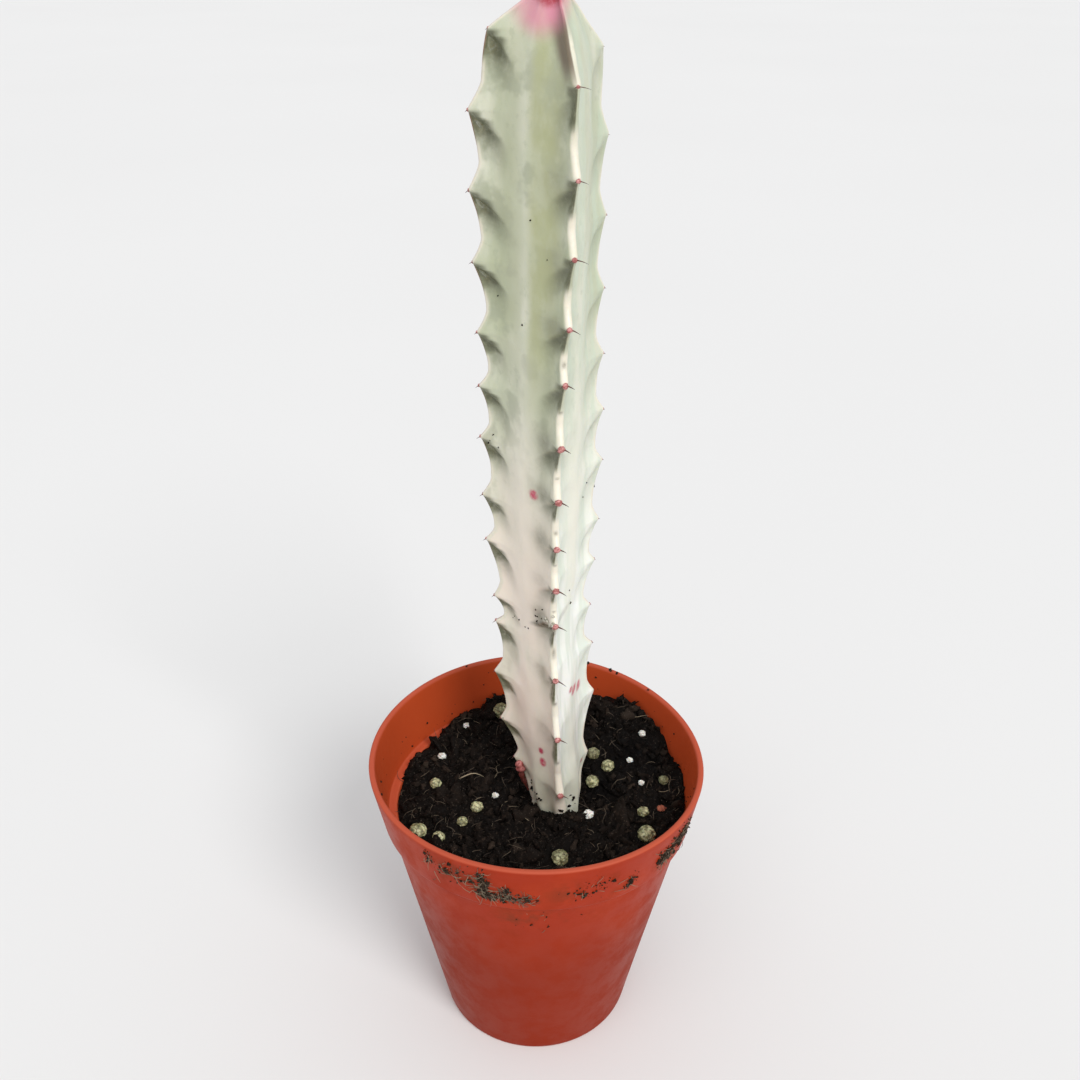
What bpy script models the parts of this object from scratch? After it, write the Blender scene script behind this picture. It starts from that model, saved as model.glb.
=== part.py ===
"""Potted euphorbia: a white three-ribbed, toothed stem cutting in a small round nursery pot.

The pot stands on z = 0 with its base centre at the origin. +Z is up, lengths are in metres,
and angles are in degrees. -Y is the plant's front. The stem, its ribs and its teeth are one
solid. It is planted in the soil, and fertiliser prills and perlite lie pressed into the top.
"""

import itertools
import math

import bmesh
import bpy
from mathutils import Matrix, Vector

MM = 0.001

# Gap kept between pieces that touch.
GAP = 0.3 * MM

# Pot
POT_HEIGHT = 53 * MM
RIM_RADIUS = 27.5 * MM
BASE_RADIUS = 16.5 * MM
COLLAR_HEIGHT = 9.6 * MM
COLLAR_STEP = 0.9 * MM
COLLAR_WALL = 1.0 * MM
BODY_WALL = 1.4 * MM
FLOOR_THICKNESS = 1.2 * MM
FOOT_HEIGHT = 0.8 * MM
FOOT_WIDTH = 2.4 * MM
FOOT_ROUNDING = 0.6 * MM
DRAIN_HOLES = 6
DRAIN_DIAMETER = 3.4 * MM
DRAIN_CIRCLE_RADIUS = 9.5 * MM
POT_SEGMENTS = 48

# Soil: its level at the pot's middle, and how its top rises towards the back and right
SOIL_BELOW_RIM = 9.5 * MM
SOIL_TILT = 2.0 * MM
SOIL_BOWL = 1.4 * MM
SOIL_TILT_AZIMUTH = 53
SOIL_ROUGHNESS = 0.35 * MM
SOIL_LUMP_SPACING = 3.1 * MM
SOIL_TOP_RINGS = 7
# Clods: (share of the soil's radius, azimuth, height, spread)
SOIL_CLODS = ((0.93, 46, 2.6 * MM, 5 * MM), (0.90, 101, 1.0 * MM, 4 * MM))

# Stem
STEM_ABOVE_SOIL = 125 * MM
STEM_BURIED = 11 * MM
STEM_RADIUS = 10.9 * MM
RIB_HALF_THICKNESS = 0.8 * MM
FACE_HOLLOW = 0.44
RIB_COUNT = 3
RIB_AZIMUTH = -82
RIB_TWIST = 9
TOOTH_HEIGHT = 1.5 * MM
TOOTH_PITCH = 9.4 * MM
TOOTH_UPPER_FLANK = 2.0 * MM
TOOTH_LOWER_FLANK = 3.6 * MM
TOOTH_LOWEST = 5 * MM
RING_SPACING = 1.6 * MM
# Rib radius along the stem: (share of the height above the soil, share of STEM_RADIUS)
STEM_OUTLINE = (
    (0.00, 0.42),
    (0.05, 0.62),
    (0.11, 0.80),
    (0.18, 0.86),
    (0.29, 0.80),
    (0.37, 0.90),
    (0.50, 0.96),
    (0.66, 0.96),
    (0.78, 1.00),
    (0.89, 0.98),
    (0.94, 0.84),
    (0.975, 0.54),
    (1.00, 0.12),
)
# How far the stem's middle stands to the right of the pot's: (share of the height, offset)
STEM_MIDDLE = (
    (0.00, 3.7 * MM),
    (0.14, 2.3 * MM),
    (0.35, 1.7 * MM),
    (0.70, 2.0 * MM),
    (1.00, 2.2 * MM),
)
# Each rib's teeth from the top down: depth of the first below the apex, then the
# spacings as shares of TOOTH_PITCH
RIB_TEETH = {
    "front": (10.5 * MM, (1.1, 1.0, 0.95, 0.8, 0.95, 0.85, 0.8, 0.75, 0.7, 1.05, 1.15, 1.3)),
    "right": (8 * MM, (1.15, 1.1, 1.05, 1.0, 0.9, 0.85, 1.05, 0.75, 0.85, 0.8, 1.0)),
    "left": (5.5 * MM, (1.0, 1.05, 1.0, 1.05, 0.85, 0.85, 1.0, 0.8, 1.05, 0.5, 1.05, 0.95, 0.75)),
}

# Things pressed into the soil's top: (share of the way from the stem to the soil's edge,
# azimuth seen from the stem, radius)
ITEM_CLEARANCE = 0.5 * MM
PRILL_PLACES = (
    (0.40, -169, 1.15 * MM),
    (0.57, -159, 0.95 * MM),
    (0.99, -160, 1.5 * MM),
    (0.83, -154, 1.1 * MM),
    (0.55, -89, 1.4 * MM),
    (0.96, -35, 1.6 * MM),
    (0.30, 51, 1.2 * MM),
    (0.33, 31, 1.2 * MM),
    (0.00, 19, 1.2 * MM),
    (0.97, 117, 1.7 * MM),
    (0.79, 171, 1.1 * MM),
    (0.74, -20, 1.0 * MM),
    (1.0, 4, 0.9 * MM),
)
PERLITE_PLACES = (
    (0.87, 154, 0.85 * MM),
    (0.99, 133, 0.7 * MM),
    (0.24, 180, 0.7 * MM),
    (0.07, -45, 1.2 * MM),
    (0.63, 25, 0.65 * MM),
    (0.98, 36, 0.75 * MM),
    (0.68, 5, 0.6 * MM),
)
BARK_PLACE = (0.98, -14, 1.1 * MM)
PRILL_SHAPE = (1.0, 1.0, 0.85)
PERLITE_SHAPE = (1.0, 0.75, 0.8)
BARK_SHAPE = (1.0, 0.7, 0.5)
# Share of an item's height that stands above the soil
PROUD_SHARE = 0.65

POT_COLOUR = (0.48, 0.075, 0.03)
SOIL_COLOUR = (0.012, 0.009, 0.007)
STEM_COLOUR = (0.56, 0.57, 0.46)
PRILL_COLOUR = (0.32, 0.31, 0.12)
PERLITE_COLOUR = (0.80, 0.79, 0.72)
BARK_COLOUR = (0.20, 0.05, 0.025)

SOIL_LEVEL = POT_HEIGHT - SOIL_BELOW_RIM
LEDGE_HEIGHT = POT_HEIGHT - COLLAR_HEIGHT
FLOOR_TOP = FOOT_HEIGHT + FLOOR_THICKNESS
SOIL_SIDE_TOP = min(SOIL_LEVEL - SOIL_TILT - SOIL_ROUGHNESS, LEDGE_HEIGHT)


def clear_scene():
    """Empties the scene."""
    for obj in list(bpy.data.objects):
        bpy.data.objects.remove(obj, do_unlink=True)


def new_collection(name):
    """Makes a collection in the scene."""
    collection = bpy.data.collections.new(name)
    bpy.context.scene.collection.children.link(collection)
    return collection


def new_material(name, colour, roughness):
    """Makes a Principled material that isn't metallic."""
    material = bpy.data.materials.new(name)
    material.use_nodes = True
    shader = material.node_tree.nodes["Principled BSDF"]
    shader.inputs["Base Color"].default_value = (*colour, 1)
    shader.inputs["Roughness"].default_value = roughness
    shader.inputs["Metallic"].default_value = 0
    material.diffuse_color = (*colour, 1)
    return material


def new_object(name, mesh, collection, material=None):
    """Puts a mesh in the scene as an object."""
    obj = bpy.data.objects.new(name, mesh)
    collection.objects.link(obj)
    if material:
        mesh.materials.append(material)
        mesh.shade_smooth()
    return obj


def make_cutter(obj):
    """Leaves a helper out of the model and shows it as a wire."""
    obj.hide_render = True
    obj.display_type = "WIRE"
    return obj


def polar(radius, azimuth):
    """The x and y of a point at this radius and azimuth in degrees."""
    angle = math.radians(azimuth)
    return radius * math.cos(angle), radius * math.sin(angle)


def smooth_step(value):
    """Eases from 0 to 1 as the value goes from 0 to 1."""
    value = min(max(value, 0.0), 1.0)
    return value * value * (3 - 2 * value)


def along(stations, place):
    """Reads a smooth curve through (place, value) stations."""
    last = len(stations) - 1
    for index in range(last):
        low, low_value = stations[index]
        high, high_value = stations[index + 1]
        if place > high and index < last - 1:
            continue
        before, before_value = stations[max(index - 1, 0)]
        after, after_value = stations[min(index + 2, last)]
        span = high - low
        low_slope = (high_value - before_value) / (high - before) * span
        high_slope = (after_value - low_value) / (after - low) * span
        t = min(max((place - low) / span, 0.0), 1.0)
        ease = t * t * (3 - 2 * t)
        return (
            low_value * (1 - ease)
            + high_value * ease
            + low_slope * t * (1 - t) ** 2
            - high_slope * t * t * (1 - t)
        )


def arc(centre_r, centre_z, radius, start, end, steps):
    """Points of a profile's arc, as (r, z), with angles in degrees from the +r direction."""
    points = []
    for step in range(steps + 1):
        angle = math.radians(start + (end - start) * step / steps)
        points.append((centre_r + radius * math.cos(angle), centre_z + radius * math.sin(angle)))
    return points


# --- Pot -------------------------------------------------------------------------------


def body_radius(z):
    """Outer radius of the pot below its collar, at height z."""
    top_radius = RIM_RADIUS - COLLAR_STEP
    return BASE_RADIUS + (top_radius - BASE_RADIUS) * z / POT_HEIGHT


def inner_radius(z):
    """Inner radius of the pot below its ledge, at height z."""
    return body_radius(z) - BODY_WALL


def pot_profile():
    """The pot's section from the floor's middle, up inside, over the rim and down outside."""
    lip = COLLAR_WALL / 2
    ledge_outer = body_radius(LEDGE_HEIGHT) + COLLAR_STEP - COLLAR_WALL
    foot_inner = BASE_RADIUS - FOOT_WIDTH
    inside = [
        (0, FLOOR_TOP),
        (inner_radius(FLOOR_TOP), FLOOR_TOP),
        (inner_radius(LEDGE_HEIGHT), LEDGE_HEIGHT),
        (ledge_outer, LEDGE_HEIGHT),
    ]
    rim = arc(RIM_RADIUS - lip, POT_HEIGHT - lip, lip, 180, 0, 6)
    outside = [
        (body_radius(LEDGE_HEIGHT) + COLLAR_STEP, LEDGE_HEIGHT),
        (body_radius(LEDGE_HEIGHT), LEDGE_HEIGHT - COLLAR_STEP / 2),
    ]
    foot = arc(BASE_RADIUS - FOOT_ROUNDING, FOOT_ROUNDING, FOOT_ROUNDING, 0, -90, 3)
    underside = [(foot_inner, 0), (foot_inner, FOOT_HEIGHT), (0, FOOT_HEIGHT)]
    return inside + rim + outside + foot + underside


def turned(name, profile, collection, material):
    """Turns a profile of (r, z) points about the Z axis."""
    mesh = bpy.data.meshes.new(name)
    edges = [(index, index + 1) for index in range(len(profile) - 1)]
    mesh.from_pydata([(r, 0, z) for r, z in profile], edges, [])
    obj = new_object(name, mesh, collection, material)
    screw = obj.modifiers.new("turn", "SCREW")
    screw.steps = POT_SEGMENTS
    screw.render_steps = POT_SEGMENTS
    screw.use_merge_vertices = True
    screw.merge_threshold = 0.00005
    screw.use_normal_calculate = True
    return obj


def drain_cutter(collection):
    """One mesh of the round cutters for the drain holes."""
    drill = bmesh.new()
    for hole in range(DRAIN_HOLES):
        x, y = polar(DRAIN_CIRCLE_RADIUS, 360 * (hole + 0.5) / DRAIN_HOLES)
        place = Matrix.Translation((x, y, FOOT_HEIGHT + FLOOR_THICKNESS / 2))
        bmesh.ops.create_cone(
            drill,
            cap_ends=True,
            segments=12,
            radius1=DRAIN_DIAMETER / 2,
            radius2=DRAIN_DIAMETER / 2,
            depth=FLOOR_THICKNESS * 2,
            matrix=place,
        )
    mesh = bpy.data.meshes.new("drain_cutter")
    drill.to_mesh(mesh)
    drill.free()
    return make_cutter(new_object("drain_cutter", mesh, collection))


def make_pot(parts, cutters):
    """The thin-walled pot: a tapered body, a collar with a ledge inside, and a drained floor."""
    material = new_material("pot", POT_COLOUR, 0.45)
    pot = turned("pot", pot_profile(), parts, material)
    drains = pot.modifiers.new("drains", "BOOLEAN")
    drains.operation = "DIFFERENCE"
    drains.object = drain_cutter(cutters)
    return pot


# --- Stem ------------------------------------------------------------------------------


def rib_point(tip, inner, half_thickness, step):
    """A point of half a rib's section, from its edge at step 0 to mid-face at step 1.

    It returns how far out along the rib the point is, and how far to the side. The edge is
    round, and the flank curves in to the middle of the face, half a rib's angle away.
    """
    edge_share = 0.2
    turn = math.radians(180 / RIB_COUNT)
    if step <= edge_share:
        angle = math.radians(90) * step / edge_share
        return tip - half_thickness * (1 - math.cos(angle)), half_thickness * math.sin(angle)
    t = (step - edge_share) / (1 - edge_share)
    start = Vector((tip - half_thickness, half_thickness))
    end = Vector((inner * math.cos(turn), inner * math.sin(turn)))
    reach = (start - end).length
    start_pull = start + Vector((-0.35 * reach, 0.02 * reach))
    end_pull = end + Vector((math.sin(turn), -math.cos(turn))) * 0.3 * reach
    point = (
        start * (1 - t) ** 3
        + start_pull * 3 * t * (1 - t) ** 2
        + end_pull * 3 * t * t * (1 - t)
        + end * t**3
    )
    return point.x, point.y


def tooth_heights(rib):
    """Heights above the soil of one rib's teeth."""
    first_depth, spacings = RIB_TEETH[rib]
    height = STEM_ABOVE_SOIL - first_depth
    heights = []
    for spacing in itertools.cycle(spacings):
        if height < TOOTH_LOWEST:
            return heights
        heights.append(height)
        height -= TOOTH_PITCH * spacing


def tooth_rise(height, heights):
    """How far a rib stands out at this height, from 0 between teeth to 1 at a tip."""
    rise = 0.0
    for tip in heights:
        flank = TOOTH_UPPER_FLANK if height > tip else TOOTH_LOWER_FLANK
        distance = abs(height - tip) / flank
        rise = max(rise, 1 - smooth_step(distance) if distance < 1 else 0.0)
    return rise


def stem_section(height, teeth, margin=0.0):
    """The ring of points round the stem at a height above the soil."""
    share = max(height / STEM_ABOVE_SOIL, 0.0)
    radius = STEM_RADIUS * along(STEM_OUTLINE, share)
    taper = min(1.0, radius / (0.5 * STEM_RADIUS))
    middle = along(STEM_MIDDLE, share)
    azimuth = RIB_AZIMUTH + RIB_TWIST * smooth_step((share - 0.45) / 0.4)
    steps = (1.0, 0.72, 0.44, 0.2, 0.0)
    ring = []
    for index, heights in enumerate(teeth):
        cut = TOOTH_HEIGHT * (1 - tooth_rise(height, heights)) * taper * smooth_step(share / 0.1)
        tip = radius - cut + margin
        inner = radius * FACE_HOLLOW * (1.6 - 0.6 * taper) + margin
        half_thickness = RIB_HALF_THICKNESS * taper + margin
        outward = math.radians(azimuth + 360 * index / len(teeth))
        for side, run in ((-1, steps), (1, steps[-2:0:-1])):
            for step in run:
                along_rib, across = rib_point(tip, inner, half_thickness, step)
                x = along_rib * math.cos(outward) - side * across * math.sin(outward)
                y = along_rib * math.sin(outward) + side * across * math.cos(outward)
                ring.append((middle + x, y, SOIL_LEVEL + height))
    return ring


def loft(name, rings, collection, material=None):
    """A closed body through rings of points, with a flat face on its first and last ring."""
    body = bmesh.new()
    rows = [[body.verts.new(point) for point in ring] for ring in rings]
    for low, high in itertools.pairwise(rows):
        count = len(low)
        for index in range(count):
            after = (index + 1) % count
            body.faces.new((low[index], low[after], high[after], high[index]))
    body.faces.new(reversed(rows[0]))
    body.faces.new(rows[-1])
    bmesh.ops.recalc_face_normals(body, faces=body.faces)
    mesh = bpy.data.meshes.new(name)
    body.to_mesh(mesh)
    body.free()
    return new_object(name, mesh, collection, material)


def spaced(low, high, spacing):
    """Evenly spaced values from low to high, about this far apart."""
    count = math.ceil((high - low) / spacing)
    return [low + (high - low) * index / count for index in range(count + 1)]


def make_stem(parts, cutters):
    """The stem as one solid, and the cutter for its planting hole in the soil."""
    teeth = [tooth_heights(rib) for rib in RIB_TEETH]
    material = new_material("stem", STEM_COLOUR, 0.5)
    heights = spaced(-STEM_BURIED, STEM_ABOVE_SOIL, RING_SPACING)
    stem = loft("stem", [stem_section(height, teeth) for height in heights], parts, material)
    hole_top = SOIL_BELOW_RIM
    hole_heights = [-STEM_BURIED - GAP, *spaced(-STEM_BURIED, hole_top, RING_SPACING)]
    hole_rings = [stem_section(height, teeth, margin=GAP) for height in hole_heights]
    make_cutter(loft("planting_hole", hole_rings, cutters))
    return stem


# --- Soil and what lies on it ----------------------------------------------------------


def soil_radius(z):
    """Outer radius of the soil at height z, which is straight above its tapered side."""
    return inner_radius(min(z, SOIL_SIDE_TOP)) - GAP


def soil_top(x, y):
    """Height of the soil's top surface."""
    edge = soil_radius(SOIL_LEVEL)
    ahead = polar(1 / edge, SOIL_TILT_AZIMUTH)
    slope = x * ahead[0] + y * ahead[1]
    height = SOIL_LEVEL + SOIL_TILT * slope + SOIL_BOWL * slope * slope
    for share, azimuth, rise, spread in SOIL_CLODS:
        clod_x, clod_y = polar(share * edge, azimuth)
        distance = math.hypot(x - clod_x, y - clod_y)
        height += rise * math.exp(-distance * distance / (2 * spread * spread))
    lumps = math.sin(x / SOIL_LUMP_SPACING * 2 + 1) * math.cos(y / SOIL_LUMP_SPACING * 2)
    return height + SOIL_ROUGHNESS * lumps


def soil_ring(radius):
    """A ring of points on the soil's top surface."""
    ring = []
    for index in range(POT_SEGMENTS):
        x, y = polar(radius, 360 * index / POT_SEGMENTS)
        ring.append((x, y, soil_top(x, y)))
    return ring


def flat_ring(radius, z):
    """A level ring of points."""
    points = [polar(radius, 360 * index / POT_SEGMENTS) for index in range(POT_SEGMENTS)]
    return [(x, y, z) for x, y in points]


def make_soil(parts, cutters):
    """The soil that fills the pot to below its rim, cut to seat what is set in it."""
    bottom = FLOOR_TOP + GAP
    edge = soil_radius(SOIL_LEVEL)
    rings = [
        flat_ring(soil_radius(bottom), bottom),
        flat_ring(edge, SOIL_SIDE_TOP),
        *[soil_ring(edge * (1 - ring / SOIL_TOP_RINGS)) for ring in range(SOIL_TOP_RINGS)],
    ]
    material = new_material("soil", SOIL_COLOUR, 0.95)
    soil = loft("soil", rings, parts, material)
    seats = soil.modifiers.new("seats", "BOOLEAN")
    seats.operation = "DIFFERENCE"
    seats.operand_type = "COLLECTION"
    seats.collection = cutters
    return soil


def soil_spot(share, azimuth, radius):
    """The x and y of a piece this share of the way from the stem to the soil's edge."""
    stem_x = STEM_MIDDLE[0][1]
    stem_radius = STEM_RADIUS * STEM_OUTLINE[0][1]
    ahead_x, ahead_y = polar(1, azimuth)
    reach = soil_radius(SOIL_LEVEL) - radius
    furthest = math.sqrt(reach**2 - (stem_x * ahead_y) ** 2) - stem_x * ahead_x
    nearest = stem_radius + ITEM_CLEARANCE + radius
    distance = nearest + share * (furthest - nearest)
    return stem_x + distance * ahead_x, distance * ahead_y


def pebble(name, place, shape, detail, margin, collection, material=None):
    """A rounded piece that sits pressed into the soil's top."""
    share, azimuth, radius = place
    x, y = soil_spot(share, azimuth, radius)
    z = soil_top(x, y) + radius * shape[2] * (2 * PROUD_SHARE - 1)
    body = bmesh.new()
    turn = Matrix.Rotation(math.radians(azimuth), 4, "Z")
    scale = Matrix.Diagonal([radius * axis + margin for axis in shape]).to_4x4()
    spot = Matrix.Translation((x, y, z)) @ turn @ scale
    bmesh.ops.create_icosphere(body, subdivisions=detail, radius=1, matrix=spot)
    mesh = bpy.data.meshes.new(name)
    body.to_mesh(mesh)
    body.free()
    return new_object(name, mesh, collection, material)


def make_pebbles(prefix, places, shape, detail, material, parts, cutters):
    """A set of pieces on the soil, each with a cutter that seats it."""
    for number, place in enumerate(places, start=1):
        name = f"{prefix}_{number:02d}"
        pebble(name, place, shape, detail, 0.0, parts, material)
        make_cutter(pebble(f"seat_{name}", place, shape, detail, GAP, cutters))


def main():
    clear_scene()
    parts = new_collection("potted_euphorbia")
    pot_cutters = new_collection("pot_cutters")
    soil_cutters = new_collection("soil_cutters")
    make_pot(parts, pot_cutters)
    make_stem(parts, soil_cutters)
    prill = new_material("prill", PRILL_COLOUR, 0.6)
    perlite = new_material("perlite", PERLITE_COLOUR, 0.9)
    bark = new_material("bark", BARK_COLOUR, 0.8)
    make_pebbles("prill", PRILL_PLACES, PRILL_SHAPE, 2, prill, parts, soil_cutters)
    make_pebbles("perlite", PERLITE_PLACES, PERLITE_SHAPE, 2, perlite, parts, soil_cutters)
    make_pebbles("bark", (BARK_PLACE,), BARK_SHAPE, 1, bark, parts, soil_cutters)
    make_soil(parts, soil_cutters)


main()
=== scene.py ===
"""The looks of the potted euphorbia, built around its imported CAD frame.

Lengths are in metres in the frame's axes: the pot stands on z = 0 round the origin, -Y is the
plant's front. The fine stem, soil, pot and the bits in the soil stand for their CAD nodes.
"""

import itertools
import math

import bmesh
import bpy
import numpy as np
from mathutils import Matrix, Vector, noise


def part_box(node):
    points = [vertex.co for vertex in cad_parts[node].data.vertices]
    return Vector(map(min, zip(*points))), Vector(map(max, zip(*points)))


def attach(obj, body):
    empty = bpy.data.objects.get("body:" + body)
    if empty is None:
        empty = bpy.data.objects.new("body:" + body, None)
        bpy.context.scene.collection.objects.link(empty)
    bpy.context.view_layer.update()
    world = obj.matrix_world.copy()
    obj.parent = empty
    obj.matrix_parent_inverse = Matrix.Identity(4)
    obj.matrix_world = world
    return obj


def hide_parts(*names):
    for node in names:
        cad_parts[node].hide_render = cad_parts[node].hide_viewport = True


MM = 0.001
SEED = 7

# Pot, as in the CAD model
POT_HEIGHT = 53 * MM
RIM_RADIUS = 27.5 * MM
BASE_RADIUS = 16.5 * MM
COLLAR_HEIGHT = 9.6 * MM
COLLAR_STEP = 0.9 * MM
COLLAR_WALL = 1.0 * MM
BODY_WALL = 1.4 * MM
FLOOR_THICKNESS = 1.2 * MM
FOOT_HEIGHT = 0.8 * MM
FOOT_WIDTH = 2.4 * MM
FLOOR_REACH = BASE_RADIUS - FOOT_WIDTH - 1 * MM
FLOOR_TOP = FOOT_HEIGHT + FLOOR_THICKNESS
DRAIN_HOLES = 6
DRAIN_DIAMETER = 3.4 * MM
DRAIN_CIRCLE_RADIUS = 9.5 * MM
LEDGE_HEIGHT = POT_HEIGHT - COLLAR_HEIGHT
# How far the thin pot is out of round at its rim: (waves round the rim, depth, azimuth)
RIM_WAVES = ((2, 0.40 * MM, -45), (3, 0.28 * MM, -30))

# Soil, as in the CAD model
SOIL_LEVEL = POT_HEIGHT - 9.5 * MM
SOIL_TILT = 2.0 * MM
SOIL_BOWL = 1.4 * MM
SOIL_TILT_AZIMUTH = 53
SOIL_CLODS = ((0.93, 46, 2.6 * MM, 5 * MM), (0.90, 101, 1.0 * MM, 4 * MM))
SOIL_EDGE = 22.7 * MM
# A mound against the stem's front and dips beside it: x, y, rise, spread along x and along y
SOIL_MOUNDS = (
    (4.0 * MM, -7.6 * MM, 1.7 * MM, 3.0 * MM, 2.0 * MM),
    (-2.5 * MM, 0.5 * MM, -1.5 * MM, 2.8 * MM, 2.8 * MM),
    (10.5 * MM, -0.5 * MM, -1.3 * MM, 2.8 * MM, 2.8 * MM),
)
# Near-black patches of soil: x, y and spread
SOIL_DARK_PATCHES = ((17.0 * MM, 7.5 * MM, 5.5 * MM), (11.0 * MM, 2.0 * MM, 4.0 * MM))

# Stem, as in the CAD model
STEM_ABOVE_SOIL = 125 * MM
APEX = SOIL_LEVEL + STEM_ABOVE_SOIL
STEM_RADIUS = 10.9 * MM
RIB_HALF_THICKNESS = 0.8 * MM
FACE_HOLLOW = 0.44
RIB_AZIMUTH = -82
RIB_TWIST = 9
TOOTH_HEIGHT = 1.6 * MM
TOOTH_PITCH = 9.4 * MM
TOOTH_LOWEST = 5 * MM
STEM_OUTLINE = (
    (0.00, 0.42), (0.05, 0.62), (0.11, 0.80), (0.18, 0.86), (0.29, 0.80),
    (0.37, 0.90), (0.50, 0.96), (0.66, 0.96), (0.78, 1.00), (0.89, 0.98),
    (0.94, 0.84), (0.975, 0.54), (1.00, 0.12),
)
STEM_MIDDLE = (
    (0.00, 3.7 * MM), (0.14, 2.3 * MM), (0.35, 1.7 * MM),
    (0.70, 2.0 * MM), (1.00, 2.2 * MM),
)
RIB_TEETH = {
    "front": (10.5 * MM, (1.1, 1.0, 0.95, 0.8, 0.95, 0.85, 0.8, 0.75, 0.7, 1.05, 1.15, 1.3)),
    "right": (8 * MM, (1.15, 1.1, 1.05, 1.0, 0.9, 0.85, 1.05, 0.75, 0.85, 0.8, 1.0)),
    "left": (5.5 * MM, (1.0, 1.05, 1.0, 1.05, 0.85, 0.85, 1.0, 0.8, 1.05, 0.5, 1.05, 0.95, 0.75)),
}
# Fine shape of the stem's surface
STEM_RINGS = 640
HALF_RIB_POINTS = 25
STEM_BURIED = 5 * MM
# The two seen faces, as the sides of the ribs that bound them
SEEN_FACES = {"left": (("front", -1), ("left", 1)), "right": (("front", 1), ("right", -1))}
UPPER_FLANK = 0.30
LOWER_FLANK = 0.55
CREASE_SLOPE = 0.7
CREASE_DEPTH = 0.8 * MM
CREASE_REACH = 5.5 * MM
# How deep the creases are on the two sides of each rib, as shares of that depth
CREASE_SHARES = {"front": (1.0, 0.3), "right": (0.3, 0.7), "left": (0.7, 0.85)}
# The hollow left of each front knob: how far left, how far up, half width, half height, depth
KNOB_HOLLOW = (2.1 * MM, -1.0 * MM, 1.5 * MM, 2.5 * MM, 0.3 * MM)
# How deep that hollow is and how dark its painted shade, at each front knob, from the top down
KNOB_SHADES = (0.0, 0.3, 0.3, 0.45, 0.15, 0.7, 0.8, 0.7, 0.3, 0.85, 0.55, 0.35, 0.3)
# How far the stem's foot leans towards the front
FOOT_FORWARD = 1.8 * MM
# Pink scars on the stem, in mm: face, x, height, half width and half height
SCARS = (
    ("left", -0.2, 103.1, 0.65, 0.95), ("left", 0.9, 56.9, 0.45, 0.8),
    ("left", 1.2, 54.7, 0.6, 1.0), ("right", 5.6, 67.3, 0.3, 0.6),
    ("right", 6.1, 66.4, 0.4, 0.9), ("right", 6.9, 65.2, 0.4, 0.9),
    ("right", 7.6, 50.5, 0.25, 0.5),
)
# Soil splashed on the stem, in mm: face, x, height, size and how many specks
SPLASHES = (
    ("right", 5.2, 85.9, 0.28, 1), ("right", 5.3, 83.0, 0.28, 1), ("left", -5.0, 130.1, 0.22, 1),
    ("left", -0.3, 141.5, 0.20, 1), ("left", 1.5, 137.0, 0.20, 1), ("left", -1.5, 127.4, 0.20, 1),
    ("left", -2.0, 79.0, 0.18, 6), ("left", 1.0, 82.5, 0.22, 7), ("left", -5.2, 57.8, 0.2, 2),
    ("left", 1.4, 46.6, 0.4, 3), ("right", 5.2, 46.2, 0.45, 4), ("left", 0.0, 47.5, 0.25, 6),
    ("right", 7.0, 46.0, 0.25, 5), ("left", -6.0, 108.0, 0.18, 5), ("right", 8.6, 100.0, 0.18, 4),
)
# The corky joint across the front rib, in mm: x, height, half width and half height
JOINT_CRACK = (2.4, 82.0, 3.4, 0.9)
CORK_GRAINS = 26
# Soil stuck outside the collar: azimuth, height in mm, spread round and up, specks, fibres
COLLAR_DIRT = (
    (-107, 48.8, 1.1, 2.6, 90, 46), (-106, 46.2, 3.4, 0.9, 60, 44),
    (-100, 47.0, 1.2, 1.8, 50, 26), (-94, 46.2, 2.8, 1.0, 30, 34),
    (-118, 49.2, 5.5, 2.2, 40, 26), (-127, 50.5, 1.0, 1.4, 16, 8),
    (-72, 47.5, 6.0, 2.4, 34, 8), (-57, 46.5, 1.6, 1.2, 34, 6),
    (-42, 47.6, 2.2, 2.0, 130, 50), (-33, 49.0, 2.8, 2.2, 110, 40),
    (-90, 39.5, 9.0, 2.5, 12, 4),
)
CRUMBS = 1500
FOOT_CRUMBS = 300
SOIL_FIBRES = 260
# Broad lights: azimuth, elevation, how wide the light is and its strength
LIGHTS = {"key": (-58, 42, 24, 1.7), "fill": (-105, 55, 45, 0.55)}
ROOM_LIGHT = 0.68
SPINE_LENGTHS = {"front": 1.45 * MM, "right": 0.7 * MM, "left": 0.7 * MM}
SHORT_SPINE = 0.45
# The dried flap at the stem's left foot: x and height of its top and of its low end
FLAP = ((-2.7 * MM, 51.2 * MM), (-1.5 * MM, 45.0 * MM))
# Its radius in mm at shares of its length
FLAP_WIDTHS = ((0, 0.1), (0.06, 0.62), (0.2, 0.85), (0.36, 0.5), (0.7, 0.4), (1, 0.08))
# One long straw on the soil: x, y, length and radius
STRAW = (-13.2 * MM, 3.9 * MM, 4.2 * MM, 0.11 * MM)
# Crumbs on the pot's rim: azimuth and size in mm
RIM_CRUMBS = ((71, 0.55), (69, 0.35), (59, 0.45), (56, 0.25), (40, 0.25), (118, 0.2))
INNER_SPECKS = 70
# Camera: offsets from the middle of the pot's rim, tilt below level and field of view
CAMERA_OFFSET = (0.74 * MM, -149.6 * MM, 125 * MM)
CAMERA_TILT = 29.54
CAMERA_VIEW = 50

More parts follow.
